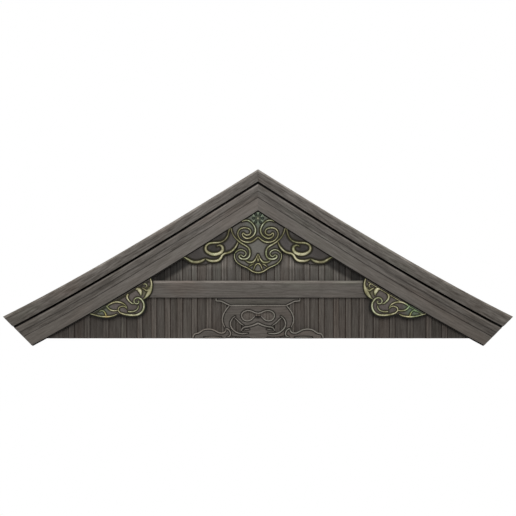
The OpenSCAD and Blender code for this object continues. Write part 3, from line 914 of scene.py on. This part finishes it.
# %% Frog-leg strut
LINE_REACH, LINE_SUNK = 0.017, 0.002
STRUT_LINES = [
    # the outer edge, with the knob of the foot
    [[303, 350, 9], [338, 306, 9], [364, 262, 9], [378, 208, 9], [371, 160, 8], [350, 118, 5]],
    [[346, 98, 5], [330, 103, 8], [310, 92, 9], [297, 73, 9], [292, 50, 9], [300, 30, 7],
     [326, 16, 5]],
    [[338, 92, 6], [349, 74, 9], [361, 63, 9], [382, 58, 9], [406, 60, 9], [434, 71, 9],
     [463, 87, 9], [496, 97, 9], [528, 100, 9], [561, 96, 9], [589, 86, 9], [614, 68, 9],
     [634, 57, 9], [654, 53, 9], [675, 44, 9], [686, 24, 9], [691, 6, 8]],
    [[575, 13, 4], [480, 14, 8], [390, 13, 4]],
    # round the bow and the crescent
    [[0, 267, 9], [30, 273, 9], [52, 284, 9], [78, 293, 9], [105, 297, 9], [137, 290, 9],
     [163, 273, 9], [174, 248, 9], [170, 224, 9], [154, 201, 9], [130, 190, 9], [104, 188, 9],
     [79, 196, 9], [57, 213, 8], [34, 236, 6]],
    [[240, 240, 4], [264, 220, 7], [284, 190, 9], [293, 158, 9], [288, 130, 9], [271, 100, 9],
     [245, 77, 9], [212, 59, 9], [175, 52, 9], [138, 53, 8], [104, 58, 4]],
    [[250, 222, 4], [224, 198, 7], [199, 173, 8], [175, 153, 7], [150, 138, 4]],
    # the ridge that parts over the sill
    [[0, 163, 14], [28, 150, 12], [69, 135, 10], [110, 126, 9], [142, 121, 9], [160, 112, 8],
     [170, 98, 8], [178, 82, 5]],
    [[150, 88, 3], [120, 95, 6], [90, 99, 3]]]
PLATE_LINES = [[[0, -82, 9], [300, -82, 9]],
               [[300, -82, 9], [335, -65, 9], [365, -49, 9], [395, -37, 9], [420, -35, 9],
                [441, -31, 8], [444, -6, 6]]]

for node, front, lines, origin in (
        ("frog_leg_strut", STRUT_FRONT, STRUT_LINES, (0, 0)),
        ("strut_plate", PLATE_FRONT, PLATE_LINES, (0, beam_low))):
    made = beads(lines, origin, front, STRUT_RELIEF, node + "_beads", line_wood,
                 (False, True), wider=1.4)
    field = cut_field(node, front)
    wear_edges(field, 0.003)
    front_squares(field, front)
    sink_ground(field, front, made, LINE_REACH, LINE_SUNK)
    finished(field, node + "_field", strut_wood, [node])
    print(made.name, len(made.data.polygons), "faces")

# %% [markdown]
# ## Ground of the carved pendants
# Between its scrolls a pendant is plain, weathered wood: grey with soft stains. Painted shade makes it
# nearly black where it runs in under a scroll, and black on the sloping sides. Noise makes it cloudy.
# A stain is a spot with a soft edge at a place of its own; the painted shade is not noise but follows
# the number that each point kept when the ground was pressed in.

# %% Ground of the carved pendants
# painted shade: near black beside the scrolls, black on the sloping sides
HOLLOW_DARK, SIDE_DARK = srgb(34, 30, 18), srgb(12, 10, 6)


def carved_ground(name, greys, stains=(), depth=0.9):
    """The plain ground between scrolls. Stains are (centre, reach, colour, share)."""
    material = bpy.data.materials.new(name)
    material.use_nodes = True
    tree = material.node_tree
    shader = tree.nodes["Principled BSDF"]
    place = add(tree, "TexCoord").outputs["Object"]
    patch = cloud(tree, place, (7, 7, 7), 4, 0.6)
    speck = cloud(tree, place, (90, 90, 90), 3, 0.6, 3.0)
    value = maths(tree, "MULTIPLY_ADD", speck, 0.4, maths(tree, "MULTIPLY", patch, 0.7))
    colour = ramp(tree, value, tuple(zip((0.35, 0.55, 0.75), greys)))
    for centre, reach, tint, share in stains:
        spot = maths(tree, "MULTIPLY", near(tree, place, centre, reach), share)
        colour = mix(tree, spot, colour, tint)
    hollow = add(tree, "Attribute", attribute_name="hollow").outputs["Fac"]
    # painted shade beside the scrolls, then on the sloping sides
    colour = mix(tree, fade(tree, hollow, 0.1, 0.9, 0.0, depth), colour, HOLLOW_DARK)
    colour = mix(tree, fade(tree, hollow, 1.1, 1.7), colour, SIDE_DARK)
    feed(tree, shader.inputs["Base Color"], colour)
    shader.inputs["Roughness"].default_value = 0.8
    shader.inputs["Specular IOR Level"].default_value = 0.3
    bump = add(tree, "Bump", {"Strength": 0.4, "Distance": 0.002, "Height": value})
    feed(tree, shader.inputs["Normal"], bump.outputs[0])
    return material


print("a side is painted", [round(v, 4) for v in SIDE_DARK[:3]], "as a linear colour")

# %% [markdown]
# ## Three grounds
# The three kinds of pendant have weathered differently. The middle one has a pale, greenish bloom at
# the top, the fins are painted plum-dark as painted shade under the bargeboards, and the corner
# pendants are browner, with patches of olive and green. One function makes all three, because only the
# greys and the stains differ.

# %% Three grounds
CARVED_Y = -0.1
GREENISH, OLIVE = srgb(88, 100, 84), srgb(98, 95, 70)
BLOOM, CHALK = srgb(96, 102, 90), srgb(104, 102, 96)
PLUM, SHADED = srgb(50, 47, 43), srgb(62, 58, 55)
pendant_ground = carved_ground(
    "pendant_ground", (srgb(70, 66, 62), srgb(90, 87, 82), srgb(106, 104, 98)),
    [((0, CARVED_Y, under_peak - 0.09), 0.17, BLOOM, 0.8),
     ((0, CARVED_Y, under_peak - 0.37), 0.12, CHALK, 0.7)])
# the fins' PLUM and SHADED spots are painted shade under the bargeboards
fin_ground = carved_ground(
    "fin_ground", (srgb(58, 54, 52), srgb(76, 72, 70), srgb(90, 86, 84)),
    [((side * x, CARVED_Y, z), reach, tint, share)
     for x, z, reach, tint, share in ((0.47, 0.945, 0.085, PLUM, 0.95), (0.42, 1.07, 0.09, PLUM, 0.85),
                                      (0.68, 0.88, 0.16, SHADED, 0.85))
     for side in (1, -1)])
corner_ground = carved_ground(
    "corner_ground", (srgb(62, 56, 51), srgb(83, 76, 72), srgb(99, 92, 87)),
    [((1.16, CARVED_Y, 0.49), 0.10, OLIVE, 0.8), ((-1.16, CARVED_Y, 0.49), 0.10, OLIVE, 0.8),
     ((1.66, CARVED_Y, 0.33), 0.15, GREENISH, 0.9), ((-1.66, CARVED_Y, 0.33), 0.14, GREENISH, 0.5)],
    depth=0.7)
for ground in (pendant_ground, fin_ground, corner_ground):
    print(ground.name, len(ground.node_tree.nodes), "nodes")

# %% [markdown]
# ## Aged gilding
# The scrolls' gilding is worn and green with age. It is bright on the crests, olive on the flanks and
# nearly black at the foot: partly rubbed gilding, partly painted highlight and painted shade, since
# the scale follows how squarely a point faces the front. The colours run up the scale that each point
# of a bead keeps, moved a little by noise, so that wear looks rubbed and not ruled. Rain has left
# larger patches, some paler and some dull; others are darker, and one is a painted highlight at the
# top of the bulb's arch. Each is a place, a reach, a tint and a share, and the tint is multiplied in,
# so that the crests still shine within a patch.

# %% Aged gilding
# from foot to crest: the near-black foot is painted shade, the pale crest partly a painted highlight
GOLDS = ((0.42, srgb(42, 39, 18)), (0.70, srgb(82, 77, 42)), (0.88, srgb(112, 107, 70)),
         (0.97, srgb(184, 179, 146)))
GREEN_TINT = (0.86, 1.02, 0.88, 1)
VERDIGRIS = (0.68, 1.06, 0.95, 1)
OCHRE = (1.25, 1.0, 0.62, 1)
DULL = (0.62, 0.61, 0.54, 1)
DARK = (0.47, 0.46, 0.40, 1)
HIGHLIGHT_TINT = (1.5, 1.5, 1.4, 1)
PALE = (1.0, 1.16, 1.32, 1)
PATINA = [((0, CARVED_Y, under_peak - 0.09), 0.20, PALE, 0.9),
          ((0.15, CARVED_Y, under_peak - 0.46), 0.15, PALE, 0.7),
          ((-0.15, CARVED_Y, under_peak - 0.46), 0.15, PALE, 0.7),
          ((0.57, CARVED_Y, 0.98), 0.09, DULL, 0.8),
          ((-0.57, CARVED_Y, 0.98), 0.09, DULL, 0.8),
          ((1.66, CARVED_Y, 0.33), 0.14, VERDIGRIS, 1.0),
          ((-1.66, CARVED_Y, 0.33), 0.12, VERDIGRIS, 0.5),
          ((1.60, CARVED_Y, 0.262), 0.05, OCHRE, 0.7),
          ((-1.60, CARVED_Y, 0.262), 0.06, OCHRE, 0.9),
          ((0.62, CARVED_Y, 0.79), 0.22, DARK, 1.0),
          ((-0.62, CARVED_Y, 0.79), 0.22, DARK, 0.9),
          ((0.33, CARVED_Y, 1.06), 0.17, DARK, 1.0),
          ((-0.33, CARVED_Y, 1.06), 0.17, DARK, 1.0),
          ((1.14, CARVED_Y, 0.50), 0.095, DULL, 1.0),
          ((-1.14, CARVED_Y, 0.50), 0.095, DULL, 1.0),
          # a painted highlight at the top of the bulb's arch
          ((0, CARVED_Y, under_peak - 0.545), 0.05, HIGHLIGHT_TINT, 1.0),
          ((1.25, CARVED_Y, 0.36), 0.17, PALE, 0.6),
          ((-1.25, CARVED_Y, 0.36), 0.17, PALE, 0.6)]


def aged_gilding():
    """Gold that is bright on the crests, green on the flanks and black at the foot: rubbed gilding
    with painted highlight and painted shade.
    """
    material = bpy.data.materials.new("aged_gilding")
    material.use_nodes = True
    tree = material.node_tree
    shader = tree.nodes["Principled BSDF"]
    place = add(tree, "TexCoord").outputs["Object"]
    crest = add(tree, "Attribute", attribute_name="crest").outputs["Fac"]
    patch = cloud(tree, place, (16, 16, 16), 4, 0.6)
    speck = cloud(tree, place, (120, 120, 120), 3, 0.6, 4.0)
    value = maths(tree, "MULTIPLY_ADD", maths(tree, "SUBTRACT", patch, 0.62), 0.28, crest)
    value = maths(tree, "MULTIPLY_ADD", maths(tree, "SUBTRACT", speck, 0.5), 0.12, value)
    colour = ramp(tree, value, GOLDS)
    green = fade(tree, cloud(tree, place, (9, 9, 9), 3, 0.6, 8.0), 0.5, 0.66, 0.0, 0.55)
    colour = mix(tree, green, colour, mix(tree, 1.0, colour, GREEN_TINT, "MULTIPLY"))
    for centre, reach, tint, share in PATINA:
        spot = maths(tree, "MULTIPLY", near(tree, place, centre, reach), share)
        colour = mix(tree, spot, colour, mix(tree, 1.0, colour, tint, "MULTIPLY"))
    feed(tree, shader.inputs["Base Color"], colour)
    shader.inputs["Metallic"].default_value = 0.3
    feed(tree, shader.inputs["Roughness"], fade(tree, patch, 0.3, 0.7, 0.65, 0.45))
    bump = add(tree, "Bump", {"Strength": 0.35, "Distance": 0.0015, "Height": speck})
    feed(tree, shader.inputs["Normal"], bump.outputs[0])
    return material


gilding = aged_gilding()
print(gilding.name, "has", len(PATINA), "patches")

# %% [markdown]
# ## Scrolls of the gable pendant
# The pendant under the peak is two pairs of volutes that curl into each other above a bulb with
# a flame in it. Its points are again [across, up, width] in millimetres, from the pendant's top
# and for one half. A volute needs a point about every eighth of a turn: with fewer the curve
# is no longer round, and with many more it starts to wobble.

# %% Scrolls of the gable pendant
PENDANT_LINES = [
    # stem and upper volute, whose two arms curl into each other
    [[175, -108, 8], [150, -97, 12], [118, -93, 14], [90, -102, 14], [60, -127, 15],
     [36, -163, 17], [27, -200, 18], [38, -238, 17], [65, -268, 16], [113, -285, 17],
     [150, -270, 15], [166, -244, 14], [158, -224, 16]],
    [[0, -268, 14], [28, -292, 15], [60, -315, 16], [100, -325, 17], [145, -320, 15],
     [184, -298, 14], [209, -262, 13], [211, -218, 13], [190, -187, 14], [158, -174, 15],
     [125, -174, 15], [90, -188, 15], [76, -216, 15], [92, -243, 15], [118, -250, 15],
     [142, -240, 15], [158, -224, 16]],
    # outer arm and lower volute
    [[290, -170, 14], [272, -228, 15], [250, -268, 16], [219, -301, 17], [187, -328, 17],
     [155, -348, 17], [118, -370, 17], [97, -391, 18], [86, -428, 19], [89, -465, 18],
     [104, -490, 18], [130, -503, 19], [160, -504, 19], [187, -495, 19], [201, -475, 17],
     [192, -460, 12]],
    [[244, -442, 10], [219, -418, 13], [187, -405, 15], [152, -412, 14], [132, -428, 13],
     [126, -450, 12], [138, -470, 13], [158, -477, 13], [176, -462, 12], [192, -460, 12]],
    # rim of the bulb
    [[244, -442, 10], [250, -470, 11], [244, -503, 12], [224, -534, 12], [192, -560, 12],
     [155, -579, 12], [118, -595, 13], [92, -612, 14], [55, -635, 15], [15, -647, 16],
     [0, -648, 16]],
    # calyx and its flame
    [[136, -518, 6], [108, -534, 16], [76, -540, 20], [49, -532, 20], [28, -508, 16],
     [14, -480, 12], [4, -448, 5]],
    [[0, -450, 6], [0, -480, 14], [0, -510, 26], [0, -530, 16]],
    [[100, -590, 5], [80, -572, 14], [60, -560, 12], [40, -552, 6]],
    [[48, -625, 6], [36, -585, 12], [20, -560, 12], [0, -549, 10]]]
print("the gable pendant has", len(PENDANT_LINES), "lines in each half")

# %% [markdown]
# ## Scrolls of the fins
# A fin leans out from the pendant at each side, with one great volute over a thick rim. The
# rim is drawn as two lines that meet in a point, where the carver lifted the tool and began
# anew. The two fins mirror each other, so one set of lines serves both.

# %% Scrolls of the fins
FIN_LINES = [
    [[303, -178, 14], [310, -215, 15], [324, -262, 16], [352, -300, 17], [390, -322, 18],
     [438, -330, 19], [486, -332, 20], [525, -342, 21], [549, -364, 23], [556, -391, 25],
     [547, -418, 27], [517, -440, 29], [484, -452, 31], [446, -453, 32], [410, -443, 31],
     [384, -422, 30], [374, -394, 28], [386, -367, 25], [412, -357, 18], [440, -369, 8]],
    [[212, -325, 12], [226, -359, 18], [253, -396, 20], [284, -423, 20], [322, -438, 20],
     [356, -446, 20], [379, -464, 22], [397, -495, 24], [427, -518, 25], [470, -524, 25],
     [512, -521, 24], [542, -508, 18], [557, -499, 8]],
    [[557, -499, 8], [576, -512, 20], [608, -528, 26], [655, -536, 27], [703, -529, 26],
     [740, -508, 22], [775, -488, 14], [795, -480, 6]]]
print("a fin has", len(FIN_LINES), "lines")

# %% [markdown]
# ## Gable pendant and fins
# Each pendant is two pieces: the scrolls in gilding, and the ground, which is the frame's solid
# with its front cut off, its corners worn, its sides sloped and its face pressed in. The steps
# come in that order, since the bevel has to find the sharp edges before the squares are cut, and
# the ground can only sink beside scrolls that are there already.

# %% Gable pendant and fins
RELIEF = 0.012
GROUND_WEAR = 0.004


def carving(node, material, lines, origin, mirrored, wider, reach, slope):
    """The ground and the scrolls of one pendant."""
    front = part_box(node)[0].y + RELIEF
    scrolls = beads(lines, origin, front, RELIEF, node + "_scrolls", gilding, mirrored,
                    wider)
    field = cut_field(node, front)
    wear_edges(field, GROUND_WEAR)
    slope_sides(field, front, slope)
    front_squares(field, front)
    sink_ground(field, front, scrolls, reach)
    made = finished(field, node + "_ground", material, [node])
    print(node, len(made.data.polygons), "ground and", len(scrolls.data.polygons), "scroll faces")


carving("gable_pendant", pendant_ground, PENDANT_LINES, (0, under_peak), (False, True),
        wider=1.25, reach=0.020, slope=0.006)
for side in ("left", "right"):
    carving(f"pendant_fin_{side}", fin_ground, FIN_LINES, (0, under_peak), (side == "left",),
            wider=1.3, reach=0.028, slope=0.006)

# %% [markdown]
# ## Scrolls of the corner pendants
# Where the beam runs into a bargeboard, a pendant covers the joint. A great S-scroll fills it,
# with a leaf and smaller scrolls round it. Its points are given from the upper corner of the
# beam's end. The swelling on the inner rim and the plump leaf are lines like the others, whose
# width grows and shrinks along the way.

# %% Scrolls of the corner pendants
CORNER_LINES = [
    # inner rim with its swelling
    [[-38, 25, 14], [-50, -13, 18], [-50, -61, 24], [-33, -110, 38], [-10, -150, 32],
     [20, -184, 15], [38, -198, 6]],
    # the great S: its volute, the sweep under it and the hook at its far end
    [[100, -219, 8], [86, -217, 12], [83, -231, 14], [104, -243, 14], [126, -235, 14],
     [134, -213, 14], [121, -190, 15], [94, -180, 16], [66, -189, 17], [47, -209, 18],
     [31, -241, 19], [28, -272, 20], [37, -309, 20], [63, -341, 20], [100, -360, 20],
     [147, -365, 19], [200, -361, 18], [248, -351, 17], [285, -334, 15], [300, -308, 14],
     [294, -287, 14], [275, -275, 14], [244, -271, 14], [214, -285, 13], [206, -301, 6]],
    [[202, -325, 14], [169, -328, 15], [132, -323, 14], [105, -309, 13], [90, -288, 12],
     [87, -260, 10]],
    # C-scroll and leaf
    [[192, -138, 20], [206, -163, 22], [200, -193, 19], [179, -219, 16], [153, -240, 14],
     [130, -244, 8]],
    [[118, -90, 14], [92, -88, 30], [70, -106, 38], [61, -134, 26], [60, -160, 9]],
    # little volute at the top
    [[36, -38, 8], [20, -34, 12], [2, -42, 13], [-2, -62, 12], [16, -70, 8]],
    [[52, -74, 8], [26, -88, 16], [-4, -104, 20], [-22, -90, 16], [-30, -64, 10]],
    # the long leaf and the rim of the tip
    [[424, -278, 10], [402, -256, 14], [370, -238, 16], [334, -226, 17], [296, -226, 17],
     [259, -236, 16], [228, -257, 13], [208, -280, 7]],
    [[428, -262, 10], [412, -284, 16], [391, -304, 16], [359, -316, 15], [322, -317, 13],
     [298, -312, 8]],
    [[598, -350, 8], [550, -362, 12], [492, -376, 14], [428, -381, 18], [386, -378, 16],
     [343, -367, 14], [312, -352, 10]],
    [[500, -330, 8], [484, -318, 11], [462, -318, 12], [446, -332, 13], [434, -354, 16],
     [428, -376, 14]]]
print("a corner pendant has", len(CORNER_LINES), "lines")

# %% [markdown]
# ## Corner pendants
# A thin rim follows the bargeboard's curved lower edge. Drawn by hand it would never run quite
# true to the board, so its points are worked out from the formula of the roof edge, a little
# below the board. It is then one more line of the carving.

# %% Corner pendants
RIM_DROP, RIM_WIDTH = 0.022, 0.009
RIM_START, RIM_END = 0.02, 0.03
BEAM_INSET = 0.057
pendant_low, pendant_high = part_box("corner_pendant_right")
beam_end = pendant_low.x + BEAM_INSET


def barge_rim(first, last, steps=14):
    """Points of the rim that follows a bargeboard, from the beam's end and in millimetres."""
    rim = []
    for k in range(steps + 1):
        x = first + (last - first) * k / steps
        height = roof_height(x, UNDER_DROP + RIM_DROP) - beam_high
        rim.append([(x - beam_end) * 1000, height * 1000, RIM_WIDTH * 1000])
    return rim


rim = barge_rim(beam_end - RIM_START, pendant_high.x - RIM_END)
print("the rim has", len(rim), "points over", round(rim[-1][0] - rim[0][0]), "mm")
for side in ("left", "right"):
    carving(f"corner_pendant_{side}", corner_ground, CORNER_LINES + [rim], (beam_end, beam_high),
            (side == "left",), wider=1.3, reach=0.013, slope=0.014)

# %% [markdown]
# ## Green bronze
# A flower of green bronze covers the head of the pin that holds the pendant. Old bronze is hardly
# metallic any more, because its green skin is a mineral, so the metallic value is low and the surface
# is dull. Each part of the flower gets the same material in lighter or darker greens.

# %% Green bronze


def green_bronze(name, dark, light):
    """A dull green skin in patches between two colours."""
    material = bpy.data.materials.new(name)
    material.use_nodes = True
    tree = material.node_tree
    shader = tree.nodes["Principled BSDF"]
    place = add(tree, "TexCoord").outputs["Object"]
    patch = cloud(tree, place, (60, 60, 60), 4, 0.6)
    feed(tree, shader.inputs["Base Color"], ramp(tree, patch, ((0.3, dark), (0.7, light))))
    shader.inputs["Metallic"].default_value = 0.2
    shader.inputs["Roughness"].default_value = 0.6
    bump = add(tree, "Bump", {"Strength": 0.4, "Distance": 0.001, "Height": patch})
    feed(tree, shader.inputs["Normal"], bump.outputs[0])
    return material


dark_bronze = green_bronze("dark_bronze", srgb(22, 30, 22), srgb(46, 56, 42))
pale_bronze = green_bronze("pale_bronze", srgb(82, 94, 76), srgb(134, 145, 122))
ring_bronze = green_bronze("ring_bronze", srgb(42, 48, 36), srgb(70, 76, 58))
knob_bronze = green_bronze("knob_bronze", srgb(122, 122, 98), srgb(158, 158, 132))
print("bronzes:", dark_bronze.name, pale_bronze.name, ring_bronze.name, knob_bronze.name)

# %% [markdown]
# ## Petals
# Six dark, round petals stand in front of six pale ones. A petal is a sphere squashed to its
# size and pushed back until only its front half shows; turning it in equal steps makes the
# flower. The dark petals stand out by half the solid's depth, and the pale ones lie lower in
# the gaps between them.

# %% Petals
PETALS = 6
boss_low, boss_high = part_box("pendant_boss")
boss_centre = (boss_low + boss_high) / 2
boss_back, boss_depth = boss_high.y, boss_high.y - boss_low.y


def flower(name, material, first, away, size, nodes=()):
    """Petals around the boss's centre. Size holds half of each one's length, depth and width."""
    shape = bmesh.new()
    for k in range(PETALS):
        made = bmesh.ops.create_uvsphere(shape, u_segments=20, v_segments=12, radius=1.0)
        turn = math.radians(first + 360 / PETALS * k)
        for v in made["verts"]:
            x, y, z = (v.co[i] * size[i] for i in range(3))
            x += away
            v.co = (boss_centre.x + x * math.cos(turn) - z * math.sin(turn),
                    boss_back + min(y, 0.0),
                    boss_centre.z + x * math.sin(turn) + z * math.cos(turn))
    for face in shape.faces:
        face.smooth = True
    return finished(shape, name, material, nodes)


flower("boss_leaves", pale_bronze, 30, 0.047, (0.020, boss_depth * 0.14, 0.023))
flower("boss_petals", dark_bronze, 0, 0.046, (0.019, boss_depth * 0.5, 0.018), ["pendant_boss"])
print("boss centre at height", round(boss_centre.z, 4))

# %% [markdown]
# ## Ring and knob
# The middle of the flower is turned like a knob on a lathe. Its half outline is drawn as a few
# points and spun once round the axis. The first point lies on the axis, where the spin leaves
# one point for every step; these are merged, or the tip would be a tiny open hole.

# %% Ring and knob


def turned(name, material, outline):
    """A round piece, spun from an outline of (radius, distance in front)."""
    shape = bmesh.new()
    verts = [shape.verts.new((radius, -front, 0)) for radius, front in outline]
    line = [shape.edges.new(pair) for pair in zip(verts, verts[1:])]
    bmesh.ops.spin(shape, geom=verts + line, cent=(0, 0, 0), axis=(0, 1, 0), dvec=(0, 0, 0),
                   angle=math.radians(360), steps=32, use_merge=True)
    bmesh.ops.remove_doubles(shape, verts=shape.verts, dist=SAME_PLACE)
    bmesh.ops.recalc_face_normals(shape, faces=shape.faces)
    bmesh.ops.translate(shape, verts=shape.verts, vec=(boss_centre.x, boss_back, boss_centre.z))
    for face in shape.faces:
        face.smooth = True
    return finished(shape, name, material)


turned("boss_ring", ring_bronze, [(0.0, 0.009), (0.018, 0.009), (0.022, 0.012), (0.028, 0.012),
                                  (0.032, 0.008), (0.034, 0.0)])
knob = turned("boss_knob", knob_bronze, [(0.0, 0.0165), (0.004, 0.016), (0.008, 0.014),
                                         (0.011, 0.010), (0.0115, 0.008)])
print(knob.name, len(knob.data.polygons), "faces")
